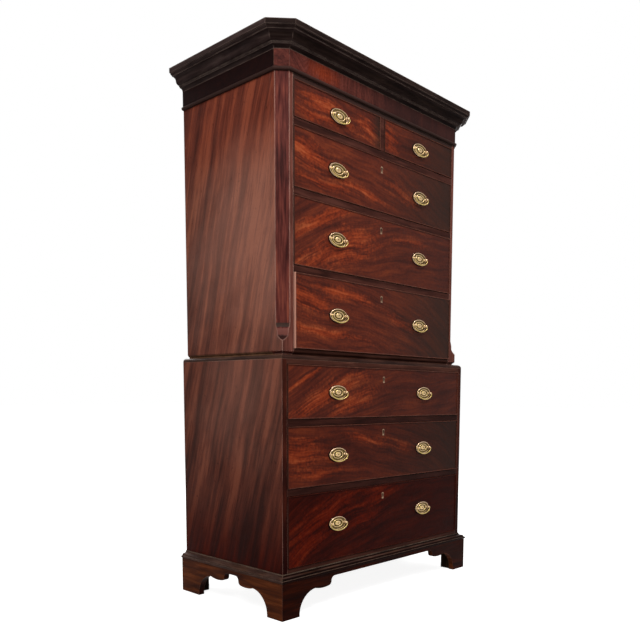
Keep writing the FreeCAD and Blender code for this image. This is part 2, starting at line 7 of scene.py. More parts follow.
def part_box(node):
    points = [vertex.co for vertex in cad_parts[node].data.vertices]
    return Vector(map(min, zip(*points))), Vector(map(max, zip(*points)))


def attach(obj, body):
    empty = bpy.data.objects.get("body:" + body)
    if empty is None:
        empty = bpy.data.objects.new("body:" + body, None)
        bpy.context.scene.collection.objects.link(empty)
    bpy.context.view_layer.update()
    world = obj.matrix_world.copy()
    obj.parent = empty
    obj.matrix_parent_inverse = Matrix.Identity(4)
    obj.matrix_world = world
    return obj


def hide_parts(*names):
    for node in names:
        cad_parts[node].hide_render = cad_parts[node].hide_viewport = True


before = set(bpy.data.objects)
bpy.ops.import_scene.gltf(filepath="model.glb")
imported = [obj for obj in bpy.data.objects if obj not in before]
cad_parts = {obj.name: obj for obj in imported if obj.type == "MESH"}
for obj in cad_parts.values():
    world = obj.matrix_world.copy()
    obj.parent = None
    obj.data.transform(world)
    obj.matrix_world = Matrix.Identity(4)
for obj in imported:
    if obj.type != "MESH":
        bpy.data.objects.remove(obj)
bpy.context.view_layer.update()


# ---- Lower case: sides --------------------------------------------------------------------
# Each side is one wide upright board of solid mahogany, oiled and waxed outside and left bare
# inside. Its broad ribbon figure leans toward the front. A pale haze laid over it is a painted
# sheen, a reflection of the light; toward the floor and toward the back it is painted darker, as
# shade.
def shade(red, green, blue):
    """A colour as the eye sees it, 0 to 255, on the linear scale of a shader."""
    return tuple(((part / 255 + 0.055) / 1.055) ** 2.4 for part in (red, green, blue)) + (1,)


class Finish:
    """A procedural finish for a piece, put together node by node."""

    def __init__(self, name, kind=bpy.data.materials):
        self.owner = kind.new(name)
        self.owner.use_nodes = True
        self.tree = self.owner.node_tree
        self.tree.nodes.clear()

    def add(self, kind, feeds, output=0, **settings):
        node = self.tree.nodes.new("ShaderNode" + kind)
        for name, value in settings.items():
            setattr(node, name, value)
        for key, value in feeds.items():
            if isinstance(value, bpy.types.NodeSocket):
                self.tree.links.new(value, node.inputs[key])
            else:
                node.inputs[key].default_value = value
        return node.outputs[output] if node.outputs else None

    def spot(self):
        """The place on the piece."""
        return self.add("TexCoord", {}, output="Object")

    def along(self, axis):
        """How far along X, Y or Z the place lies."""
        return self.add("SeparateXYZ", {0: self.spot()}, output=axis)

    def facing(self, axis):
        """How far the surface there looks along X, Y or Z."""
        return self.add("SeparateXYZ", {0: self.add("TexCoord", {}, output="Normal")}, output=axis)

    def sum(self, how, first, second=0.0, third=0.0, clamp=False):
        return self.add("Math", {0: first, 1: second, 2: third}, operation=how, use_clamp=clamp)

    def span(self, value, low, high, start=0.0, end=1.0):
        """Low to high becomes start to end, eased at both ends."""
        feeds = {0: value, 1: low, 2: high, 3: start, 4: end}
        return self.add("MapRange", feeds, interpolation_type="SMOOTHSTEP")

    def join(self, x, y, z):
        return self.add("CombineXYZ", {0: x, 1: y, 2: z})

    def cloud(self, point, scale, detail=2.0, rough=0.5, swirl=0.0):
        feeds = {"Vector": point, "Scale": scale, "Detail": detail, "Roughness": rough,
                 "Distortion": swirl}
        return self.add("TexNoise", feeds)

    def blend(self, base, part, share):
        """Add a share of a pattern to another, both even about a half."""
        return self.sum("MULTIPLY_ADD", self.sum("SUBTRACT", part, 0.5), share, base)

    def away(self, across, up, centre, reach):
        """How far a place lies from a centre: 0 there, and 1 at the rim of its oval."""
        side = self.sum("DIVIDE", self.sum("SUBTRACT", across, centre[0]), reach[0])
        rise = self.sum("DIVIDE", self.sum("SUBTRACT", up, centre[1]), reach[1])
        squares = self.sum("MULTIPLY_ADD", side, side, self.sum("MULTIPLY", rise, rise))
        return self.sum("SQRT", squares)

    def lay(self, share, under, over, how="MIX"):
        feeds = {0: share, 6: under, 7: over}
        return self.add("Mix", feeds, output=2, data_type="RGBA", blend_type=how)

    def ramp(self, value, shades, low=0.3, high=0.7):
        """Shades from dark to light, spread evenly between low and high."""
        output = self.add("ValToRGB", {0: value})
        stops = output.node.color_ramp.elements
        step = (high - low) / (len(shades) - 1)
        stops[0].position = low
        stops[0].color = shades[0]
        stops[1].position = high
        stops[1].color = shades[-1]
        for place, tone in enumerate(shades[1:-1], start=1):
            stops.new(low + place * step).color = tone
        return output

    def surface(self, colour, roughness, height=None, depth=0.0, arris=None, **constants):
        """The finished surface; constants are a sheen, coat or metal that is even all over."""
        feeds = {"Base Color": colour, "Roughness": roughness}
        if height is not None:
            bump = {"Height": height, "Distance": depth}
            if arris is not None:
                bump["Normal"] = arris
            feeds["Normal"] = self.add("Bump", bump)
        for name, value in constants.items():
            feeds[name.replace("_", " ")] = value
        shader = self.add("BsdfPrincipled", feeds)
        self.add("OutputMaterial", {"Surface": shader})
        return self.owner


def grain(finish, run, lean=0.0, seed=0.0):
    """A place measured along the grain first, then twice across it.

    run is x, y or z, or round for a moulding whose grain follows it round the case.
    """
    x, y, z = (finish.along(axis) for axis in "XYZ")
    if run == "z":
        return finish.join(finish.sum("ADD", z, seed), finish.sum("MULTIPLY_ADD", z, lean, y), x)
    if run == "y":
        return finish.join(finish.sum("ADD", y, seed), z, x)
    if run == "x":
        return finish.join(finish.sum("ADD", x, seed), z, y)
    normal = finish.add("TexCoord", {}, output="Normal")
    level = finish.add("VectorMath", {0: normal, 1: (0, 0, 1)}, operation="CROSS_PRODUCT")
    way = finish.add("VectorMath", {0: level}, operation="NORMALIZE")
    round_case = finish.add("VectorMath", {0: finish.spot(), 1: way}, output="Value",
                            operation="DOT_PRODUCT")
    return finish.join(finish.sum("ADD", round_case, seed), z, 0.0)


def stretch(finish, place, drawn):
    """The same point with the grain direction drawn out."""
    return finish.add("VectorMath", {0: place, 1: (1 / drawn, 1, 1)}, operation="MULTIPLY")


def worn_highlit_arris(finish, reach, sharp=0.86):
    """How pale an edge is painted, 0 to 1, for wear and the highlight it catches; and the normal of
    the rounded edge.
    """
    rounded = finish.add("Bevel", {"Radius": reach}, samples=6)
    flat = finish.add("NewGeometry", {}, output="Normal")
    turn = finish.add("VectorMath", {0: rounded, 1: flat}, output="Value", operation="DOT_PRODUCT")
    return finish.span(turn, 0.99, sharp), rounded


def shade_and_dirt_in_hollows(finish, colour, share):
    """Painted shade and old dirt, nearly black, in the hollows of a moulding, where little light
    reaches.
    """
    open_air = finish.add("AmbientOcclusion", {"Distance": 0.014}, output="AO", samples=8)
    return finish.lay(finish.span(open_air, 0.85, 0.5, 0.0, share), colour, shade(12, 7, 6))


# Edges painted pale, for wear and for the highlight a rounded edge catches.
rubbed_highlight_wood = shade(172, 132, 118)
# Near-black: dirt in marks and pores, and painted shade toward the back of a side.
grime_and_shade = shade(30, 14, 11)
# Painted shade that darkens the sides toward the floor.
painted_floor_shade = shade(152, 78, 38)
top_shade = shade(246, 214, 202)
# The pale haze of a painted sheen: reflected light laid into the colour.
painted_sheen_tone = shade(190, 138, 120)
darkens = (0.52, 0.14)              # heights between which a side deepens into painted shade toward the floor
reddens = (1.4, 1.66)               # and those between which it takes the top's
back_shade_span = (0.16, 0.3)                 # painted shade deepens toward the back
side_lean = 0.28                    # how far the figure leans forward for each metre it rises


def side_look(finish, shades, seed, painted_sheen):
    """The ribbon figure of a side, its relief and its polish.

    The last argument gives the centre (y, z), reach and strength of a painted sheen, a pale haze of
    reflected light.
    """
    place = grain(finish, "z", side_lean, seed)
    y = finish.along("Y")
    z = finish.along("Z")
    sway = finish.cloud(finish.join(y, z, seed), 1.8, 1.0)
    bend = finish.join(0.0, finish.sum("MULTIPLY", sway, 0.08), 0.0)
    place = finish.add("VectorMath", {0: place, 1: bend})
    broad = finish.cloud(stretch(finish, place, 14.0), 20.0, 2.0, 0.5, 0.2)
    narrow = finish.cloud(stretch(finish, place, 11.0), 60.0, 3.0, 0.6)
    lines = finish.cloud(stretch(finish, place, 26.0), 240.0, 3.0, 0.65)
    pores = finish.cloud(stretch(finish, place, 22.0), 1500.0, 1.0)
    mottle = finish.cloud(stretch(finish, place, 2.0), 34.0, 3.0, 0.6)
    figure = finish.blend(finish.blend(broad, narrow, 0.55), lines, 0.4)
    figure = finish.blend(figure, mottle, 0.2)
    colour = finish.ramp(figure, shades, 0.32, 0.68)
    dusty = finish.cloud(place, 5.0, 3.0, 0.6)
    marks = finish.cloud(finish.spot(), 70.0, 2.0, 0.6)
    colour = finish.lay(finish.span(marks, 0.34, 0.26, 0.0, 0.5), colour, grime_and_shade)
    # A painted sheen: reflected light laid over the figure as a pale haze.
    centre, reach, strength = painted_sheen
    sheen_distance = finish.blend(finish.away(y, z, centre, reach), dusty, 0.9)
    colour = finish.lay(finish.span(sheen_distance, 1.1, 0.0, 0.0, strength), colour, painted_sheen_tone)
    # Painted shade: darker toward the floor.
    colour = finish.lay(finish.span(z, *darkens), colour, painted_floor_shade, "MULTIPLY")
    colour = finish.lay(finish.span(z, *reddens), colour, top_shade, "MULTIPLY")
    # Painted shade: darker toward the back.
    colour = finish.lay(finish.span(y, *back_shade_span, 0.0, 0.12), colour, grime_and_shade)
    colour = finish.lay(finish.span(pores, 0.36, 0.27, 0.0, 0.5), colour, grime_and_shade)
    return colour, figure, finish.sum("ADD", lines, pores), finish.span(dusty, 0.3, 0.7, 0.34, 0.5)


def side_finish(name, shades, seed, painted_sheen, skin, raw, front_rubbed_highlight):
    """A side board. skin is (x, y): nearer the middle and further back it is raw wood.

    The last argument is how pale its front edge is painted, for wear and the highlight it catches.
    """
    finish = Finish(name)
    colour, figure, relief, roughness = side_look(finish, shades, seed, painted_sheen)
    front_edge = finish.sum("LESS_THAN", finish.facing("Y"), -0.7)
    colour = finish.lay(front_edge, colour, shade(150, 120, 112), "MULTIPLY")
    inward = finish.sum("ABSOLUTE", finish.along("X"))
    y = finish.along("Y")
    hidden = finish.sum("MULTIPLY", finish.sum("LESS_THAN", inward, skin[0]),
                        finish.sum("GREATER_THAN", y, skin[1]))
    colour = finish.lay(hidden, colour, finish.ramp(figure, raw, 0.25, 0.75))
    roughness = finish.sum("MAXIMUM", roughness, finish.sum("MULTIPLY", hidden, 0.85))
    # Edges painted paler: wear, and the highlight a rounded edge catches.
    paleness, arris = worn_highlit_arris(finish, 0.0025)
    patchy = finish.span(finish.cloud(finish.spot(), 9.0, 3.0), 0.35, 0.6, 0.15, 0.8)
    forward = finish.span(y, skin[1] - 0.002, skin[1] + 0.004, front_rubbed_highlight, 1.0)
    paleness = finish.sum("MULTIPLY", paleness, finish.sum("MULTIPLY", patchy, forward))
    colour = finish.lay(paleness, colour, rubbed_highlight_wood)
    return finish.surface(colour, roughness, relief, 0.00025, arris, Specular_IOR_Level=0.02)


def dress(node, material):
    """Give a piece of the frame its finish."""
    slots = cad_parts[node].data.materials
    slots.clear()
    slots.append(material)


lower_board = (shade(58, 30, 24), shade(80, 42, 33), shade(98, 52, 40), shade(122, 68, 51))
bare_mahogany = (shade(96, 66, 48), shade(124, 88, 64), shade(146, 106, 78))
side_skin = 0.0015
lower_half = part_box("lower_side_right")[1].x
lower_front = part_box("lower_side_right")[0].y
# Where the painted sheen lies on the lower sides, how far it reaches and how strong it is.
lower_painted_sheen = ((-0.05, 0.8), (0.4, 0.34), 0.16)
for side, seed in (("left", 0.0), ("right", 3.1)):
    dress("lower_side_" + side,
          side_finish("lower side " + side, lower_board, seed, lower_painted_sheen,
                      (lower_half - side_skin, lower_front + side_skin), bare_mahogany, 1.0))


# ---- Case boards and drawer rails -----------------------------------------------------------
# Rails of oak and boards of deal run from side to side. Only their front edges show, and those
# are faced with plain dark mahogany.
facing_thick = 0.012
facing_darkens = (1.1, 0.6)         # heights between which the facings deepen into painted shade toward the floor
painted_facing_shade = shade(196, 188, 186)


def faced(name, facing_shades, inner_shades, half, front):
    """Boards whose front edges carry a facing; the rest, past half and front, is raw wood."""
    finish = Finish(name)
    place = grain(finish, "x", seed=1.7)
    ribbons = finish.cloud(stretch(finish, place, 9.0), 60.0, 3.0, 0.5, 0.4)
    lines = finish.cloud(stretch(finish, place, 27.0), 420.0, 3.0, 0.6)
    figure = finish.blend(ribbons, lines, 0.3)
    inward = finish.sum("LESS_THAN", finish.sum("ABSOLUTE", finish.along("X")), half)
    inside = finish.sum("MULTIPLY", inward, finish.sum("GREATER_THAN", finish.along("Y"), front))
    outer = finish.ramp(figure, facing_shades)
    # Painted shade: the facings darker toward the floor.
    outer = finish.lay(finish.span(finish.along("Z"), *facing_darkens), outer, painted_facing_shade, "MULTIPLY")
    # Edges painted a little paler, for wear and highlight.
    paleness, arris = worn_highlit_arris(finish, 0.0016)
    outer = finish.lay(finish.sum("MULTIPLY", paleness, 0.25), outer, rubbed_highlight_wood)
    colour = finish.lay(inside, outer, finish.ramp(figure, inner_shades))
    roughness = finish.span(inside, 0.0, 1.0, 0.42, 0.85)
    return finish.surface(colour, roughness, lines, 0.0002, arris, Specular_IOR_Level=0.02)


rail_facing = (shade(40, 19, 15), shade(60, 31, 25), shade(80, 45, 37))
oak = (shade(116, 86, 60), shade(148, 114, 82), shade(170, 136, 102))
deal = (shade(114, 82, 56), shade(146, 110, 76), shade(170, 134, 96))
upper_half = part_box("upper_side_right")[1].x
upper_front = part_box("canted_corners")[0].y
# The boards' facings are a lighter copy of the rails': painted light that lifts the shade under the
# drawers.
lit_board_facing = (shade(56, 30, 23), shade(78, 45, 36), shade(100, 62, 50))
for node, outer, inner in (("drawer_rails", rail_facing, oak), ("case_boards", lit_board_facing, deal)):
    dress(node, faced(node, outer, inner, upper_half - 0.01, upper_front + facing_thick))


# ---- Bracket feet and their blocks ------------------------------------------------------------
# Boards of dark mahogany with shaped lower edges, mitred at the front corners, on blocks and
# strips of deal glued inside. The front board is painted darkest, as shade.
def timber(name, run, shades, ribbon, seed=0.0, gloss=(0.34, 0.5), haze=0.05, rubbed_highlight=0.4,
           front=None, level=0.03, reach=0.0016, rubbed_highlight_tone=rubbed_highlight_wood, hollow=0.0, sharp=0.86):
    """Plain timber. front is a painted shade that deepens the lengths that face forward.

    hollow is how black the painted shade and dirt in its hollows are.
    """
    finish = Finish(name)
    place = grain(finish, run, seed=seed)
    ribbons = finish.cloud(stretch(finish, place, 9.0), ribbon, 3.0, 0.5, 0.4)
    lines = finish.cloud(stretch(finish, place, 27.0), ribbon * 7, 3.0, 0.6)
    pores = finish.cloud(stretch(finish, place, 22.0), 1500.0, 1.0)
    colour = finish.ramp(finish.blend(ribbons, lines, 0.3), shades)
    dusty = finish.cloud(place, 7.0, 3.0, 0.6)
    colour = finish.lay(finish.span(dusty, 0.35, 0.75, 0.0, haze), colour, shade(150, 128, 124))
    if front is not None:
        # Painted shade on the lengths that face forward.
        colour = finish.lay(finish.span(finish.facing("Y"), -0.3, -0.7), colour, front, "MULTIPLY")
    colour = finish.lay(finish.span(pores, 0.36, 0.27, 0.0, 0.5), colour, grime_and_shade)
    roughness = finish.span(dusty, 0.3, 0.7, gloss[0], gloss[1])
    if hollow:
        colour = shade_and_dirt_in_hollows(finish, colour, hollow)
    # Edges painted paler, for wear and for the highlight a rounded edge catches.
    paleness, arris = worn_highlit_arris(finish, reach, sharp)
    patchy = finish.span(finish.cloud(place, 25.0, 2.0), 0.3, 0.6, 0.3 * rubbed_highlight, rubbed_highlight)
    colour = finish.lay(finish.sum("MULTIPLY", paleness, patchy), colour, rubbed_highlight_tone)
    return finish.surface(colour, roughness, finish.sum("ADD", lines, pores), 0.00025, arris,
                          Specular_IOR_Level=level)


foot_board = (shade(46, 18, 8), shade(74, 34, 15), shade(106, 54, 26))
# Painted shade for the front of the bracket feet.
front_painted_shade = shade(140, 108, 98)
dress("bracket_feet", timber("bracket feet", "round", foot_board, ribbon=50.0, haze=0.0,
                            front=front_painted_shade, level=0.018))
old_deal = (shade(30, 20, 15), shade(44, 31, 23), shade(60, 44, 32))
dress("foot_blocks", timber("foot blocks", "z", old_deal, ribbon=60.0, haze=0.0, rubbed_highlight=0.0,
                            gloss=(0.8, 0.9)))


# ---- Base moulding and waist moulding ---------------------------------------------------------
# Mouldings worked from straight mahogany, mitred at the corners and nailed on. They have gone
# darker than the boards. Painted shade and dirt lie in their hollows, and their front lengths are
# painted darker, as shade.
moulding = (shade(38, 21, 15), shade(56, 34, 25), shade(78, 52, 40))
# Pale edges of the mouldings: wear and painted highlight.
worn_highlight_edge = shade(124, 104, 88)
dress("base_moulding", timber("base moulding", "round", moulding, ribbon=90.0, haze=0.12, seed=0.7,
                              front=shade(92, 50, 38), rubbed_highlight=0.7, reach=0.0024, rubbed_highlight_tone=worn_highlight_edge,
                              level=0.018, hollow=0.9, sharp=0.93))
dress("waist_moulding", timber("waist moulding", "round", moulding, ribbon=90.0, haze=0.06,
                               front=shade(200, 180, 176), rubbed_highlight=0.7, rubbed_highlight_tone=worn_highlight_edge,
                               hollow=0.8))


# ---- Upper case: sides and corner posts --------------------------------------------------------
# The sides match those below. A square post stands at each front corner. Its outer face carries
# on the side's figure, and its canted face, of darker wood, ends in a lamb's tongue.
upper_board = (shade(70, 38, 32), shade(90, 49, 39), shade(108, 59, 46), shade(136, 78, 58))
# Where the painted sheen lies on the upper sides and posts, how far it reaches and how strong it is.
upper_painted_sheen = ((-0.12, 1.22), (0.54, 0.5), 0.28)
post_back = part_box("canted_corners")[1].y
for side, seed in (("left", 5.3), ("right", 8.2)):
    dress("upper_side_" + side,
          side_finish("upper side " + side, upper_board, seed, upper_painted_sheen,
                      (upper_half - side_skin, post_back), bare_mahogany, 0.0))

cant_shades = (shade(52, 22, 20), shade(76, 34, 30), shade(98, 47, 40), shade(124, 64, 48))
post_shades = (shade(76, 40, 33), shade(98, 55, 46), shade(120, 70, 59))
tongue_light_and_shade = (                    # painted shade, highlight, shade: middle, half height and tone, from the hollow to the lip
    (0.966, 0.007, shade(52, 42, 36)),
    (0.945, 0.010, shade(112, 66, 58)),
    (0.9255, 0.0065, shade(36, 20, 17)))
square_on = 0.97                    # a face that looks straight to the front or the side
joint = post_back - 0.006           # behind this the post's edge is glued to the side
corner = Finish("canted corners")
colour, figure, relief, roughness = side_look(corner, upper_board, 5.3, upper_painted_sheen)
upright = grain(corner, "z", seed=2.0)
streaks = corner.cloud(stretch(corner, upright, 12.0), 110.0, 3.0, 0.6)
worn = corner.cloud(stretch(corner, upright, 3.0), 14.0, 2.0)
streaks = corner.blend(streaks, worn, 0.5)
sideways = corner.sum("ABSOLUTE", corner.facing("X"))
backward = corner.facing("Y")
front_face = corner.sum("LESS_THAN", backward, -square_on)
colour = corner.lay(front_face, colour, corner.ramp(streaks, post_shades))
sloping = corner.sum("MULTIPLY", corner.sum("LESS_THAN", sideways, square_on),
                     corner.sum("GREATER_THAN", backward, -square_on))
cant_colour = corner.ramp(streaks, cant_shades)
# Painted light and shade on the lamb's tongue: dark in the hollow and on the lip, pale on the swell.
for height, half_band, tone in tongue_light_and_shade:
    level = corner.sum("COMPARE", corner.along("Z"), height, half_band)
    cant_colour = corner.lay(corner.sum("MULTIPLY", level, 0.85), cant_colour, tone)
colour = corner.lay(sloping, colour, cant_colour)
# The cant's arrises painted pale: wear, and the highlight each catches.
paleness, arris = worn_highlit_arris(corner, 0.005, 0.95)
paleness = corner.sum("MULTIPLY", paleness, corner.span(corner.along("Y"), joint - 0.003, joint, 1.0, 0.0))
patchy = corner.span(corner.cloud(upright, 12.0, 3.0), 0.35, 0.6, 0.35, 0.95)
colour = corner.lay(corner.sum("MULTIPLY", paleness, patchy), colour, rubbed_highlight_wood)
dress("canted_corners", corner.surface(colour, roughness, relief, 0.00025, arris,
                                       Specular_IOR_Level=0.025))


# ---- Frieze --------------------------------------------------------------------------------
# A band of thin veneer over a plain half-round bead and the top rail. Its grain slants at the
# front's left end, where it is warmest, and stands upright beyond. The sides are nearly black.
frieze_height = 0.052
frieze_veneer = (shade(46, 22, 20), shade(80, 38, 32), shade(108, 54, 44))
frieze_flame = (shade(70, 25, 15), shade(110, 41, 22), shade(142, 60, 32))
veneer_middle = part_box("cornice_moulding")[0].z - frieze_height / 2
flame_x = -0.3
flame_reach = (0.11, 0.05)
straightens = (-0.4, -0.1)          # across these places the grain turns upright
darkest = 0.15                      # from here to the right end the colour is darkest
frieze = Finish("frieze")
x, y, z = (frieze.along(axis) for axis in "XYZ")
slant = frieze.sum("MULTIPLY", z, frieze.span(x, *straightens, 1.1, 0.1))
place = frieze.join(frieze.sum("ADD", z, 0.4), frieze.sum("ADD", x, slant), y)
sheets = frieze.cloud(stretch(frieze, place, 5.0), 40.0, 3.0, 0.6)
lines = frieze.cloud(stretch(frieze, place, 18.0), 420.0, 3.0, 0.6)
mottle = frieze.cloud(frieze.spot(), 130.0, 3.0, 0.6)
figure = frieze.blend(frieze.blend(sheets, lines, 0.5), mottle, 0.5)
colour = frieze.ramp(figure, frieze_veneer, 0.25, 0.75)
tongue = frieze.away(x, z, (flame_x, veneer_middle), flame_reach)
tongue = frieze.span(frieze.blend(tongue, sheets, 2.2), 1.0, 0.1)
colour = frieze.lay(tongue, colour, frieze.ramp(figure, frieze_flame, 0.25, 0.75))
colour = frieze.lay(frieze.span(x, flame_x, darkest, 0.0, 0.8), colour, shade(38, 25, 24))
sideways = frieze.sum("ABSOLUTE", frieze.facing("X"))
colour = frieze.lay(frieze.span(sideways, 0.8, 0.95, 0.0, 0.94), colour, shade(16, 5, 5))
below = frieze.sum("LESS_THAN", z, veneer_middle - frieze_height / 2)
colour = frieze.lay(frieze.sum("MULTIPLY", below, 0.9), colour, shade(52, 37, 33))
# Painted shade and dirt in the hollows round the bead.
colour = shade_and_dirt_in_hollows(frieze, colour, 0.8)
# Edges painted pale, for wear and for their highlights.
paleness, arris = worn_highlit_arris(frieze, 0.0018)
colour = frieze.lay(frieze.sum("MULTIPLY", paleness, 0.6), colour, worn_highlight_edge)
dress("frieze", frieze.surface(colour, 0.42, lines, 0.0002, arris, Specular_IOR_Level=0.015))


# ---- Cornice -------------------------------------------------------------------------------
# Built up from a cove, a cyma and an ovolo, mitred round the canted corners, nearly black. Its
# edges are painted paler, for wear and for the highlights they catch; painted shade and dirt lie in
# its hollows, and its front is painted darker, as shade.
cornice_wood = (shade(31, 20, 19), shade(45, 32, 30), shade(64, 50, 46))
dress("cornice_moulding", timber("cornice", "round", cornice_wood, ribbon=80.0, haze=0.08,
                                 rubbed_highlight=0.9, reach=0.0032, front=shade(172, 162, 152), level=0.015,
                                 rubbed_highlight_tone=shade(116, 98, 90), hollow=0.95, sharp=0.95))


# ---- Back boards, runners and dust boards --------------------------------------------------------
# Plain work out of sight: upright deal boards nailed in the rebates, each with its own tone,
# and oak that the drawers slide on.
back_count = 5
side_lip = 0.012                    # what the rebate leaves of a side, beyond the boards
lower_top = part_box("lower_side_right")[1].z
board = Finish("back boards")
half = board.span(board.along("Z"), lower_top, lower_top + 0.001, lower_half - side_lip,
                  upper_half - side_lip)
share = board.sum("DIVIDE", board.sum("ADD", board.along("X"), half),
                  board.sum("MULTIPLY", half, 2 / back_count))
which = board.sum("FLOOR", board.sum("ADD", share, board.sum("MULTIPLY", half, 100.0)))
off_middle = board.sum("ABSOLUTE", board.sum("SUBTRACT", board.sum("FRACT", share), 0.5))
chance = board.add("TexWhiteNoise", {"W": which}, noise_dimensions="1D")
shift = board.join(board.sum("MULTIPLY", chance, 7.0), 0.0, 0.0)
place = board.add("VectorMath", {0: grain(board, "z", seed=4.0), 1: shift})
rings = board.cloud(stretch(board, place, 12.0), 34.0, 3.0, 0.5, 0.8)
lines = board.cloud(stretch(board, place, 30.0), 300.0, 2.0, 0.6)
colour = board.ramp(board.blend(rings, lines, 0.35), deal)
colour = board.lay(board.span(chance, 0.0, 1.0, 0.0, 0.5), colour, shade(96, 66, 44))
stain = board.cloud(board.spot(), 3.0, 3.0, 0.6)
colour = board.lay(board.span(stain, 0.4, 0.75, 0.0, 0.45), colour, shade(74, 54, 42))
colour = board.lay(board.span(off_middle, 0.485, 0.497, 0.0, 0.8), colour, shade(34, 24, 18))
dress("back_boards", board.surface(colour, 0.85, board.blend(lines, stain, 0.3), 0.0006,
                                   Specular_IOR_Level=0.1))
dress("drawer_runners", timber("drawer runners", "y", oak, ribbon=40.0, haze=0.1, rubbed_highlight=0.1,
                               gloss=(0.7, 0.85)))


# ---- Drawer fronts ---------------------------------------------------------------------------
# Deal faced with leaves of flame-figured mahogany veneer, edged with a mitred cock bead.
# Leaves cut one after another alternate: the grain fans out at the left of one, at the right of
# the next. Each front is painted darker toward its right end and toward the floor, as shade, and
# a dark ring of painted shadow and dirt lies round each brass plate.
bead_thick = 0.003
bead_proud = 0.003
veneer = (shade(60, 26, 20), shade(80, 34, 24), shade(98, 42, 27), shade(116, 52, 30))
flame = (shade(78, 29, 18), shade(118, 45, 24), shade(148, 61, 31), shade(170, 84, 48))
bead_wood = (shade(70, 38, 30), shade(96, 54, 42), shade(124, 76, 60))
front_core = (shade(120, 84, 54), shade(150, 110, 72), shade(170, 130, 88))
# How strong the painted shade toward the right end is, and its tone, by the end that fans.
right_end_shade = {-1: (0.5, shade(54, 27, 22)), 1: (0.82, shade(42, 30, 24))}
# Painted shade toward the floor, deepest on the lowest drawer.
painted_low_shade = shade(152, 98, 84)
veneered = 0.0105                   # behind this much of a front, its bare core shows
lit_or_shaded_bead_end = 0.006                     # width of the bead's left end, painted as a highlight on an ajar drawer and as shade on a shut one
plate_half = (0.042, 0.0235)
pin_r = 0.002
plate_shadow_shift = 0.0015                 # the painted shadow and dirt round a plate lie a little left of it and below


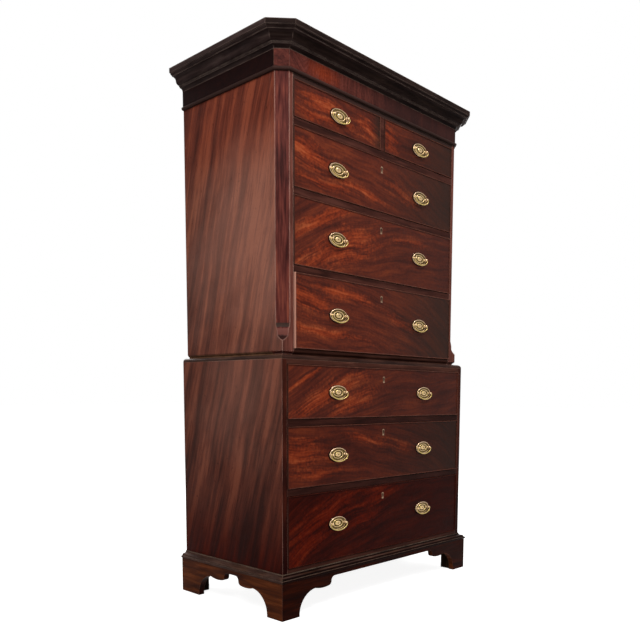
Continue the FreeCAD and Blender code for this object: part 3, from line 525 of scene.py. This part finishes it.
def figured_front(name, end, rise, reach, flames, seed, right_shade_from, depth):
    """Veneer whose grain fans by `rise` over `reach` from its left (-1) or right (1) end.

    A flame is a centre, in shares of the half width and height, and its reach in metres.
    """
    low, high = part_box(name + "_front")
    middle = (low + high) / 2
    half_wide = (high.x - low.x) / 2
    half_high = (high.z - low.z) / 2
    face = low.y + bead_proud
    finish = Finish(name + " front")
    x = finish.sum("SUBTRACT", finish.along("X"), middle.x)
    y = finish.along("Y")
    z = finish.sum("SUBTRACT", finish.along("Z"), middle.z)
    fade = finish.sum("EXPONENT", finish.sum("MULTIPLY_ADD", x, end / reach, -half_wide / reach))
    sway = finish.cloud(finish.join(x, z, seed), 5.0, 1.5)
    across = finish.blend(finish.sum("MULTIPLY_ADD", fade, rise, z), sway, 0.06)
    place = finish.join(finish.sum("ADD", x, seed), across, y)
    ribbons = finish.cloud(stretch(finish, place, 8.0), 48.0, 4.0, 0.6, 0.2)
    stripes = finish.cloud(stretch(finish, place, 6.0), 18.0, 2.0)
    streaks = finish.cloud(stretch(finish, place, 18.0), 150.0, 2.0, 0.5)
    lines = finish.cloud(stretch(finish, place, 30.0), 420.0, 3.0, 0.65)
    pores = finish.cloud(stretch(finish, place, 22.0), 1500.0, 1.0)
    mottle = finish.cloud(finish.spot(), 95.0, 2.0, 0.6)
    figure = finish.blend(finish.blend(ribbons, stripes, 0.4), streaks, 0.4)
    figure = finish.blend(finish.blend(figure, lines, 0.25), mottle, 0.3)
    colour = finish.ramp(figure, veneer, 0.26, 0.76)

    # Flames: bright tongues that follow the grain and break up at their ends.
    bright = None
    for flame_x, flame_z, reach_x, reach_z in flames:
        fanned = rise * math.exp((end * flame_x - 1) * half_wide / reach)
        centre = (flame_x * half_wide, flame_z * half_high + fanned)
        tongue = finish.sum("SUBTRACT", 1.0, finish.away(x, across, centre, (reach_x, reach_z)))
        bright = tongue if bright is None else finish.sum("MAXIMUM", bright, tongue)
    licks = finish.cloud(stretch(finish, place, 6.0), 40.0, 4.0, 0.6, 0.2)
    bright = finish.blend(finish.blend(bright, licks, 2.2), mottle, 0.9)
    glow = finish.span(bright, 0.0, 0.95, 0.0, 0.85)
    colour = finish.lay(glow, colour, finish.ramp(figure, flame, 0.3, 0.7))

    # Painted shade toward the right end of the leaf, and deeper painted shade toward the foot of the
    # chest.
    share, tone = right_end_shade[end]
    right_shade = finish.span(x, right_shade_from * half_wide, half_wide, 0.0, share)
    colour = finish.lay(right_shade, colour, tone)
    colour = finish.lay(depth, colour, painted_low_shade, "MULTIPLY")
    colour = finish.lay(finish.span(pores, 0.36, 0.27, 0.0, 0.45), colour, grime_and_shade)
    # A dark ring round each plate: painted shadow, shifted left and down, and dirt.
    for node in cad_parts:
        if node.startswith(name + "_bail"):
            bail_low, bail_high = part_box(node)
            pull = ((bail_low.x + bail_high.x) / 2 - middle.x - plate_shadow_shift,
                    bail_high.z - pin_r - middle.z - plate_shadow_shift)
            ring = finish.away(x, z, pull, plate_half)
            colour = finish.lay(finish.span(ring, 1.17, 1.07, 0.0, 0.88), colour, shade(20, 8, 6))

    # The cock bead round the veneer, and the bare core behind it.
    edge_x = finish.sum("GREATER_THAN", finish.sum("ABSOLUTE", x), half_wide - bead_thick)
    edge_z = finish.sum("GREATER_THAN", finish.sum("ABSOLUTE", z), half_high - bead_thick)
    bead = finish.sum("MAXIMUM", edge_x, edge_z)
    bead_colour = finish.ramp(lines, bead_wood)
    # The bead takes the same painted shade toward the floor.
    bead_colour = finish.lay(depth, bead_colour, painted_low_shade, "MULTIPLY")
    in_upper = low.z > lower_top
    ajar = face < (upper_front if in_upper else lower_front) - 0.002
    # The bead's left end: a painted highlight on the ajar drawer, which catches the light, and
    # painted shade in the gap of a shut one.
    left_end = finish.span(x, lit_or_shaded_bead_end - half_wide, -half_wide, 0.0, 0.8)
    bead_end_light_or_shade = shade(200, 146, 126) if ajar else shade(48, 26, 21)
    bead_colour = finish.lay(left_end, bead_colour, bead_end_light_or_shade)
    colour = finish.lay(bead, colour, bead_colour)
    behind = finish.sum("GREATER_THAN", y, face + veneered)
    colour = finish.lay(behind, colour, finish.ramp(lines, front_core))
    roughness = finish.span(finish.cloud(place, 6.0, 3.0), 0.3, 0.7, 0.24, 0.38)
    roughness = finish.sum("MAXIMUM", roughness, finish.sum("MULTIPLY", behind, 0.85))
    # Edges painted paler for wear and highlight: most on the ajar drawer, which catches the light,
    # more on the upper fronts than the lower.
    paleness, arris = worn_highlit_arris(finish, 0.0012)
    most = 0.75 if ajar else 0.5 if in_upper else 0.15
    patchy = finish.span(finish.cloud(finish.spot(), 14.0, 3.0), 0.35, 0.6, 0.2 * most, most)
    colour = finish.lay(finish.sum("MULTIPLY", paleness, patchy), colour, rubbed_highlight_wood)
    return finish.surface(colour, roughness, finish.sum("ADD", lines, pores), 0.0002, arris,
                          Specular_IOR_Level=0.035 - 0.02 * depth)


# Which end fans, by how much and over what reach; the flames; the seed; where the painted shade
# of the right end starts, as a share of the half width; and how deep the painted shade toward the
# floor is.
leaves = {
    "short_drawer_left": (1, 0.07, 0.25, [(-0.25, 0.2, 0.16, 0.035), (0.75, -0.2, 0.1, 0.04),
                                          (-0.6, -0.5, 0.12, 0.02)], 2.0, 0.7, 0.2),
    "short_drawer_right": (1, 0.04, 0.3, [(-0.85, 0.0, 0.07, 0.05)], 4.4, -1.1, 0.25),
    "upper_drawer_1": (1, 0.2, 0.32, [(-0.85, 0.3, 0.2, 0.05), (0.3, -0.1, 0.12, 0.035),
                                      (-0.25, -0.45, 0.2, 0.015), (-0.7, -0.6, 0.2, 0.02)],
                       6.0, -0.3, 0.1),
    "upper_drawer_2": (-1, 0.22, 0.3, [(-0.55, -0.3, 0.28, 0.085), (-0.35, 0.15, 0.18, 0.04),
                                       (-0.65, 0.65, 0.2, 0.04), (0.4, 0.4, 0.14, 0.02)],
                       9.0, -0.6, 0.0),
    "upper_drawer_3": (1, 0.24, 0.34, [(-0.9, 0.4, 0.22, 0.06), (-0.45, 0.65, 0.24, 0.025),
                                       (0.3, 0.0, 0.12, 0.03), (-0.6, -0.5, 0.26, 0.02)],
                       11.0, -0.3, 0.0),
    "lower_drawer_1": (-1, 0.24, 0.3, [(-0.65, -0.1, 0.26, 0.05), (-0.35, -0.3, 0.16, 0.04),
                                       (-0.8, 0.6, 0.14, 0.02)], 9.4, -0.7, 0.12),
    "lower_drawer_2": (1, 0.22, 0.34, [(-0.92, 0.1, 0.2, 0.07), (0.3, 0.1, 0.1, 0.025),
                                       (-0.7, -0.6, 0.16, 0.03), (-0.1, 0.3, 0.18, 0.025)],
                       6.5, -0.4, 0.35),
    "lower_drawer_3": (-1, 0.24, 0.32, [(-0.7, 0.2, 0.3, 0.08), (-0.1, 0.75, 0.24, 0.045),
                                        (-0.85, -0.6, 0.24, 0.06), (-0.3, 0.0, 0.2, 0.04)],
                       9.8, -0.6, 0.93),
}
for name, leaf in leaves.items():
    dress(name + "_front", figured_front(name, *leaf))


# ---- Drawer linings --------------------------------------------------------------------------
# Thin quartered oak, dovetailed at the corners and never polished. The sides run front to back,
# the back and the bottom from side to side.
lining_thick = 0.010
for name in leaves:
    low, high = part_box(name + "_box")
    middle = (low.x + high.x) / 2
    lining = Finish(name + " lining")
    x, y, z = (lining.along(axis) for axis in "XYZ")
    offset = lining.sum("ABSOLUTE", lining.sum("SUBTRACT", x, middle))
    in_side = lining.sum("GREATER_THAN", offset, (high.x - low.x) / 2 - lining_thick)
    lengthways = lining.join(lining.sum("ADD", y, len(name)), z, x)
    crossways = lining.join(lining.sum("ADD", x, len(name)), lining.sum("ADD", y, z), 0.0)
    place = lining.lay(in_side, crossways, lengthways)
    figure = lining.cloud(stretch(lining, place, 9.0), 50.0, 3.0, 0.5, 0.3)
    lines = lining.cloud(stretch(lining, place, 27.0), 400.0, 3.0, 0.6)
    rays = lining.cloud(stretch(lining, place, 3.0), 130.0, 2.0, 0.5, 0.6)
    colour = lining.ramp(lining.blend(figure, lines, 0.4), oak)
    colour = lining.lay(lining.span(rays, 0.62, 0.7, 0.0, 0.35), colour, shade(190, 160, 118))
    dirt = lining.span(lining.cloud(lining.spot(), 5.0, 3.0, 0.6), 0.4, 0.75, 0.0, 0.35)
    colour = lining.lay(dirt, colour, shade(92, 70, 50))
    paleness, arris = worn_highlit_arris(lining, 0.001)
    dress(name + "_box", lining.surface(colour, 0.8, lines, 0.0002, arris, Specular_IOR_Level=0.1))


# ---- Brass plates ------------------------------------------------------------------------------
# Each pull has an oval plate stamped from thin sheet: a rolled rim, a sunk field, an inner ring
# and a domed boss with a dimple. Its high parts are rubbed bright and its hollows are dull.
def turned_to_front(bm, x, face, z):
    """From flat, facing up, to upright, facing forward, at a place on a drawer front."""
    bmesh.ops.rotate(bm, matrix=Matrix.Rotation(math.radians(90), 3, "X"), verts=bm.verts)
    bmesh.ops.translate(bm, vec=(x, face, z), verts=bm.verts)


def piece(bm, name, body, material, crisp=40.0):
    """Make a mesh a named piece that rides on a body."""
    bmesh.ops.recalc_face_normals(bm, faces=bm.faces)
    mesh = bpy.data.meshes.new(name)
    bm.to_mesh(mesh)
    bm.free()
    mesh.shade_smooth()
    mesh.set_sharp_from_angle(angle=math.radians(crisp))
    mesh.materials.append(material)
    made = bpy.data.objects.new(name, mesh)
    bpy.context.scene.collection.objects.link(made)
    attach(made, body)
    return made


def ring_edges(ring):
    return list({edge for vert in ring for edge in vert.link_edges})


def brass_finish(name, shades, roughness):
    """Old brass: dark in the hollows, olive on the flats, bright where it is rubbed."""
    finish = Finish(name)
    worn = finish.add("Attribute", {}, output="Fac", attribute_name="worn")
    stain = finish.cloud(finish.spot(), 160.0, 3.0, 0.6)
    speck = finish.cloud(finish.spot(), 900.0, 2.0)
    paleness = finish.sum("MULTIPLY_ADD", finish.sum("SUBTRACT", stain, 0.5), 0.5, worn, clamp=True)
    colour = finish.ramp(paleness, shades, 0.0, 1.0)
    colour = finish.lay(finish.span(speck, 0.42, 0.3, 0.0, 0.35), colour, shades[0])
    rough = finish.sum("SUBTRACT", roughness + 0.2, finish.sum("MULTIPLY", paleness, 0.2))
    return finish.surface(colour, rough, stain, 0.0002, Metallic=0.85)


pull_shades = (shade(34, 24, 10), shade(112, 90, 42), shade(186, 162, 92), shade(208, 174, 144))
pull_brass = brass_finish("pull brass", pull_shades, 0.26)
plate_rings = [                     # half width, half height, height above the wood, rubbed
    (0.0420, 0.0235, 0.0000, 0.3), (0.0420, 0.0235, 0.0012, 0.6), (0.0415, 0.0230, 0.0022, 1.0),
    (0.0405, 0.0220, 0.0027, 1.0), (0.0394, 0.0209, 0.0024, 1.0), (0.0387, 0.0202, 0.0013, 0.2),
    (0.0380, 0.0195, 0.0010, 0.0), (0.0365, 0.0186, 0.0011, 0.15), (0.0310, 0.0169, 0.0012, 0.25),
    (0.0274, 0.0159, 0.0011, 0.15), (0.0265, 0.0154, 0.0010, 0.0), (0.0258, 0.0150, 0.0016, 0.5),
    (0.0248, 0.0142, 0.0025, 0.9), (0.0236, 0.0132, 0.0026, 0.9), (0.0224, 0.0122, 0.0021, 0.8),
    (0.0217, 0.0116, 0.0011, 0.1), (0.0208, 0.0110, 0.0009, 0.05), (0.0170, 0.0096, 0.0011, 0.15),
    (0.0148, 0.0089, 0.0012, 0.1), (0.0140, 0.0085, 0.0020, 0.5), (0.0126, 0.0076, 0.0031, 0.8),
    (0.0102, 0.0061, 0.0038, 0.9), (0.0070, 0.0042, 0.0042, 0.9), (0.0036, 0.0022, 0.0043, 0.7),
    (0.0024, 0.0015, 0.0040, 0.3), (0.0010, 0.0007, 0.0037, 0.1)]
pivot_out = 0.0094


def stamped_plate(x, face, z):
    bm = bmesh.new()
    worn = bm.verts.layers.float.new("worn")
    loops = []
    for half_wide, half_high, height, paleness in plate_rings:
        ring = bmesh.ops.create_circle(bm, segments=80, radius=1.0)["verts"]
        bmesh.ops.scale(bm, vec=(half_wide, half_high, 1.0), verts=ring)
        bmesh.ops.translate(bm, vec=(0.0, 0.0, height), verts=ring)
        for vert in ring:
            vert[worn] = paleness
        loops.append(ring_edges(ring))
    for outer, inner in zip(loops, loops[1:]):
        bmesh.ops.bridge_loops(bm, edges=outer + inner)
    bmesh.ops.holes_fill(bm, edges=loops[0] + loops[-1], sides=0)
    turned_to_front(bm, x, face, z)
    return bm


pulls = {}
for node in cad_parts:
    if "_bail" in node:
        low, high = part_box(node)
        face = (low.y + high.y) / 2 + pivot_out
        pulls[node] = ((low.x + high.x) / 2, face, high.z - pin_r)
for node, (x, face, z) in pulls.items():
    drawer = node.split("_bail")[0]
    plate = piece(stamped_plate(x, face, z), node.replace("bail", "plate"), drawer, pull_brass)
    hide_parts(drawer + "_brasses")


# ---- Posts and nuts ---------------------------------------------------------------------------
# Two turned posts pass through each plate and the drawer front: a round head bored for the
# bail, a neck and a collar outside, and a square nut on the thread inside.
half_span = 0.033
front_thick = 0.022
plate_thick = 0.0012
nut_thick = 0.004
nut_width = 0.011
post_profile = [                    # radius, height above the wood
    (0.0024, -front_thick - nut_thick - 0.002), (0.0024, plate_thick), (0.0044, plate_thick),
    (0.0049, 0.0018), (0.0045, 0.0025), (0.0033, 0.0029), (0.0028, 0.0036), (0.0027, 0.0046),
    (0.0030, 0.0054)]
head_r = 0.0046
head_steps = 10


def turned(bm, profile, steps=28):
    """Turn a profile of (radius, height) round the upright axis, closed at both ends."""
    spine = [bm.verts.new((radius, 0.0, height)) for radius, height in profile]
    edges = [bm.edges.new(pair) for pair in zip(spine, spine[1:])]
    bmesh.ops.spin(bm, geom=spine + edges, axis=(0, 0, 1), cent=(0, 0, 0), angle=math.tau,
                   steps=steps, use_merge=True)
    bmesh.ops.remove_doubles(bm, verts=bm.verts, dist=1e-6)


def post_pair(x, face, z):
    bm = bmesh.new()
    worn = bm.verts.layers.float.new("worn")
    start = math.acos(post_profile[-1][0] / head_r)
    head = []
    for step in range(head_steps + 1):
        angle = -start + (math.pi / 2 + start) * step / head_steps
        head.append((head_r * math.cos(angle), pivot_out + head_r * math.sin(angle)))
    turned(bm, [(0.0, post_profile[0][1])] + post_profile + head[:-1] + [(0.0, head[-1][1])])
    for vert in bm.verts:
        vert[worn] = 0.9 if vert.co.z > plate_thick else 0.1
    bmesh.ops.translate(bm, vec=(-half_span, 0.0, 0.0), verts=bm.verts)
    copied = bmesh.ops.duplicate(bm, geom=bm.verts[:] + bm.edges[:] + bm.faces[:])["geom"]
    moved = [item for item in copied if isinstance(item, bmesh.types.BMVert)]
    bmesh.ops.translate(bm, vec=(2 * half_span, 0.0, 0.0), verts=moved)
    turned_to_front(bm, x, face, z)
    return bm


def nut_pair(x, face, z):
    bm = bmesh.new()
    worn = bm.verts.layers.float.new("worn")
    for side in (-1, 1):
        nut = bmesh.ops.create_cube(bm, size=1.0)["verts"]
        bmesh.ops.scale(bm, vec=(nut_width, nut_width, nut_thick), verts=nut)
        back = -front_thick - nut_thick / 2
        bmesh.ops.translate(bm, vec=(side * half_span, 0.0, back), verts=nut)
    bmesh.ops.bevel(bm, geom=bm.edges[:], offset=0.0007, segments=2, profile=0.5, affect="EDGES",
                    material=-1)
    for vert in bm.verts:
        vert[worn] = 0.4
    turned_to_front(bm, x, face, z)
    return bm


for node, (x, face, z) in pulls.items():
    drawer = node.split("_bail")[0]
    piece(post_pair(x, face, z), node.replace("bail", "posts"), drawer, pull_brass)
    piece(nut_pair(x, face, z), node.replace("bail", "nuts"), drawer, pull_brass)


# ---- Bails --------------------------------------------------------------------------------------
# Cast bows of round brass, thicker in the grip, whose ends turn in and pass into the posts.
bail_drop = 0.024
bend_r = 0.003
end_arc_r = 0.014
pin_inner = 0.0317                  # the pins' inner ends, from the middle of the pull
arm = 0.0407                        # and the outside of the bow
slim_r = 0.0017
grip_r = 0.0024


def bail_bow(node, x, face, z):
    """One half of the bow is a pin, a bend, an end arc and half of the grip's wide arc."""
    drop = bail_drop - bend_r
    end_x = arm - end_arc_r
    lift = (end_x ** 2 - (drop - end_arc_r) ** 2) / (2 * (drop - end_arc_r))
    grip_arc_r = drop + lift
    meet = math.atan2(lift, end_x)
    half = [(pin_inner, 0.0)]
    arcs = ((arm - bend_r, -bend_r, bend_r, math.pi / 2, 0.0, 4),
            (end_x, -bend_r, end_arc_r, 0.0, -meet, 8),
            (0.0, lift - bend_r, grip_arc_r, -meet, -math.pi / 2, 12))
    for centre_x, centre_z, radius, first, last, steps in arcs:
        for step in range(steps + (radius == grip_arc_r)):
            angle = first + (last - first) * step / steps
            half.append((centre_x + radius * math.cos(angle), centre_z + radius * math.sin(angle)))
    bow = [(-along, height) for along, height in half[:-1]] + half[::-1]
    curve = bpy.data.curves.new(node + "_bow", "CURVE")
    curve.dimensions = "3D"
    curve.bevel_depth = 1.0
    curve.bevel_resolution = 4
    curve.use_fill_caps = True
    line = curve.splines.new("POLY")
    line.points.add(len(bow) - 1)
    for place, (along, height) in zip(line.points, bow):
        place.co = (x + along, face - pivot_out, z + height, 1.0)
        place.radius = slim_r + (grip_r - slim_r) * (height / bail_drop) ** 2
    sketch = bpy.data.objects.new(node + "_line", curve)
    mesh = bpy.data.meshes.new_from_object(sketch)
    bpy.data.objects.remove(sketch)
    bm = bmesh.new()
    bm.from_mesh(mesh)
    worn = bm.verts.layers.float.new("worn")
    for vert in bm.verts:
        vert[worn] = 0.7
    return bm


for node, (x, face, z) in pulls.items():
    bow = piece(bail_bow(node, x, face, z), node + "_bow", node, pull_brass)
    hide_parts(node)


# ---- Locks and escutcheons -----------------------------------------------------------------------
# A long drawer has a brass lock let into the back of its front, a bolt that rises into the rail,
# and a small brass escutcheon let in flush round the keyhole. Screws hold the lock.
lock_shades = (shade(50, 38, 20), shade(112, 90, 50), shade(150, 124, 76), shade(176, 150, 98))
lock_brass = brass_finish("lock brass", lock_shades, 0.35)
escutcheon_shades = (shade(38, 26, 18), shade(90, 68, 50), shade(136, 108, 84), shade(172, 142, 116))
escutcheon_brass = brass_finish("escutcheon brass", escutcheon_shades, 0.35)
lock_reach = 0.045                  # the lock and escutcheon lie this near the drawer's middle
escutcheon_thick = 0.0015


def eased_copy(node, skin, inside, ease, bright):
    """The brasses near the lock, inside or outside of a skin, with sharp edges eased.

    bright is how pale their upper and lower ends are painted, as highlights.
    """
    bm = bmesh.new()
    bm.from_mesh(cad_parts[node].data)
    bmesh.ops.remove_doubles(bm, verts=bm.verts, dist=1e-6)
    spare = [vert for vert in bm.verts
             if abs(vert.co.x) > lock_reach or (vert.co.y > skin) != inside]
    bmesh.ops.delete(bm, geom=spare, context="VERTS")
    bmesh.ops.dissolve_limit(bm, angle_limit=math.radians(1), verts=bm.verts, edges=bm.edges)
    sharp = [edge for edge in bm.edges if edge.calc_face_angle(0.0) > math.radians(40)]
    bmesh.ops.bevel(bm, geom=sharp, offset=ease, segments=2, profile=0.5, affect="EDGES",
                    material=-1)
    worn = bm.verts.layers.float.new("worn")
    heights = [vert.co.z for vert in bm.verts]
    middle = (max(heights) + min(heights)) / 2
    for vert in bm.verts:
        vert[worn] = bright * abs(vert.co.z - middle) / (max(heights) - middle)
    return bm


for name in leaves:
    if name + "_bolt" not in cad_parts:
        continue
    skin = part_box(name + "_front")[0].y + bead_proud + 1.2 * escutcheon_thick
    for part, brass, inside, ease, bright in (("_lock", lock_brass, True, 0.0002, 0.7),
                                              ("_escutcheon", escutcheon_brass, False, 0.0003, 0.9)):
        shape = eased_copy(name + "_brasses", skin, inside, ease, bright)
        made = piece(shape, name + part, name, brass, 30.0)
        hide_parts(name + "_brasses")
    dress(name + "_bolt", lock_brass)


# ---- Room ----------------------------------------------------------------------------------------
# A pale floor that keeps the chest's shadow, soft daylight all round, and four broad lamps: the
# key in front on the right, the fill on the left, and one each on the far side and behind.
def seen_directly(finish):
    """1 for what is seen straight, in a polished surface or through glass."""
    path = finish.add("LightPath", {}).node.outputs
    seen = finish.sum("MAXIMUM", path["Is Camera Ray"], path["Is Glossy Ray"])
    return finish.sum("MAXIMUM", seen, path["Is Transmission Ray"])


floor_finish = Finish("pale floor")
floor_glow = floor_finish.sum("MULTIPLY", seen_directly(floor_finish), 0.9)
pale = floor_finish.add("BsdfDiffuse", {"Color": shade(170, 170, 170)})
glow = floor_finish.add("Emission", {"Strength": floor_glow})
both = floor_finish.add("AddShader", {0: pale, 1: glow})
floor_finish.add("OutputMaterial", {"Surface": both})
bm = bmesh.new()
bmesh.ops.create_grid(bm, x_segments=1, y_segments=1, size=40.0)
floor_mesh = bpy.data.meshes.new("floor")
bm.to_mesh(floor_mesh)
bm.free()
floor_mesh.materials.append(floor_finish.owner)
floor = bpy.data.objects.new("floor", floor_mesh)
bpy.context.scene.collection.objects.link(floor)

sky = Finish("daylight", bpy.data.worlds)
bpy.context.scene.world = sky.owner
brightness = sky.span(seen_directly(sky), 0.0, 1.0, 0.32, 1.0)
background = sky.add("Background", {"Color": (1, 1, 1, 1), "Strength": brightness})
sky.add("OutputWorld", {"Surface": background})


def lamp(name, at, towards, size, power):
    light = bpy.data.lights.new(name, "AREA")
    light.shape = "DISK"
    light.size = size
    light.energy = power
    made = bpy.data.objects.new(name, light)
    bpy.context.scene.collection.objects.link(made)
    way = Vector(towards) - Vector(at)
    made.matrix_world = Matrix.Translation(at) @ way.to_track_quat("-Z", "Y").to_matrix().to_4x4()


lamp("key", (1.0, -2.6, 4.2), (-0.1, -0.2, 1.2), 1.2, 80.0)
lamp("fill", (-2.5, -1.9, 3.0), (-0.4, 0.0, 1.2), 2.0, 85.0)
lamp("far side", (3.2, 1.6, 2.8), (0.2, 0.2, 1.0), 2.0, 70.0)
lamp("behind", (0.6, 3.8, 2.6), (0.1, 0.2, 1.0), 2.0, 80.0)


# ---- Camera ---------------------------------------------------------------------------------------
# Low and to the left, a little under eye level, with the lens shifted up.
frame_px = 640
focal_px = 710.44
centre_px = (362.02, 466.78)
camera_at = Vector((-2.0325, -1.9790, 0.7419))
azimuth = math.radians(47.993)
pitch = math.radians(-5.784)
roll = math.radians(0.429)
sensor_width = 36.0
view = bpy.data.cameras.new("camera")
view.sensor_width = sensor_width
view.lens = focal_px / frame_px * sensor_width
view.shift_x = (frame_px / 2 - centre_px[0]) / frame_px
view.shift_y = (centre_px[1] - frame_px / 2) / frame_px
camera = bpy.data.objects.new("camera", view)
bpy.context.scene.collection.objects.link(camera)
turn = Matrix.Rotation(-azimuth, 4, "Z") @ Matrix.Rotation(math.pi / 2 + pitch, 4, "X")
camera.matrix_world = Matrix.Translation(camera_at) @ turn @ Matrix.Rotation(roll, 4, "Z")
bpy.context.scene.camera = camera
bpy.context.scene.view_settings.view_transform = "Standard"
